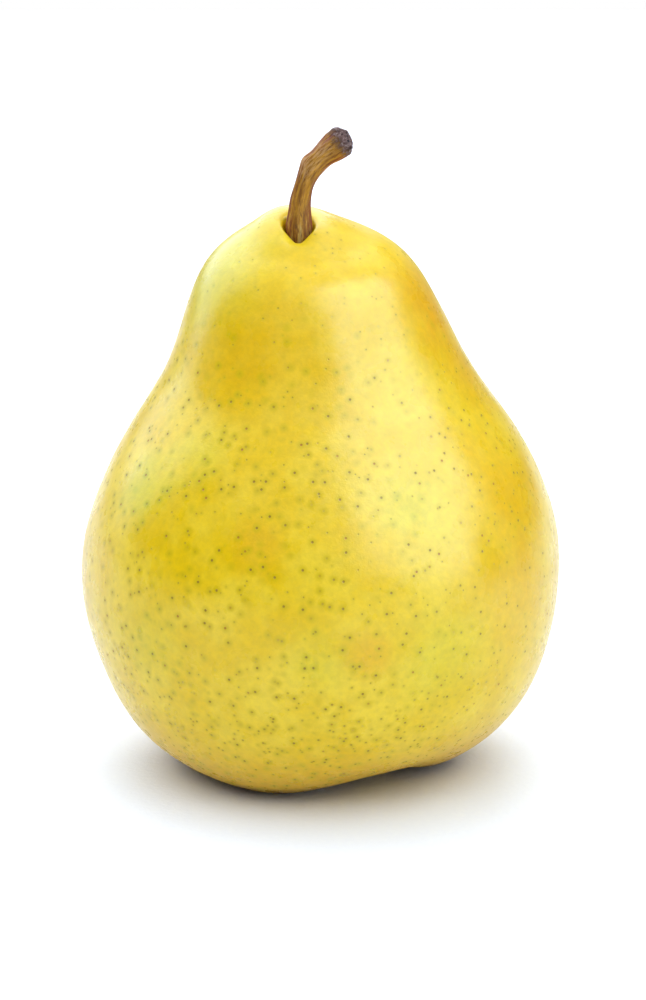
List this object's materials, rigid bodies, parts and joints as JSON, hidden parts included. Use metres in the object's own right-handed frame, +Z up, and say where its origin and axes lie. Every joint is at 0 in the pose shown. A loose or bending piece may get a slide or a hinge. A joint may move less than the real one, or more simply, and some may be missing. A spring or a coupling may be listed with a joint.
{
  "type": "pear",
  "caption": "Ripe yellow pear standing on its own base, with a round belly, a tapered neck, a bent woody stem and a dried calyx underneath.",
  "frame": {"origin": "bottom centre of the bounding box, on the plane the pear stands on", "axes": "+Z up from the base to the stem, -Y the front, +X the side the stem bends to"},
  "size_m": [0.0752, 0.0742, 0.1027],
  "materials": {
    "skin": null,
    "stem": "dry brown woody stem with lengthwise ridges and a rough broken end",
    "calyx": "dry dark brown sepals"
  },
  "bodies": {
    "root": {"fruit": "skin", "stem": "stem", "calyx": "calyx"}
  },
  "joints": []
}
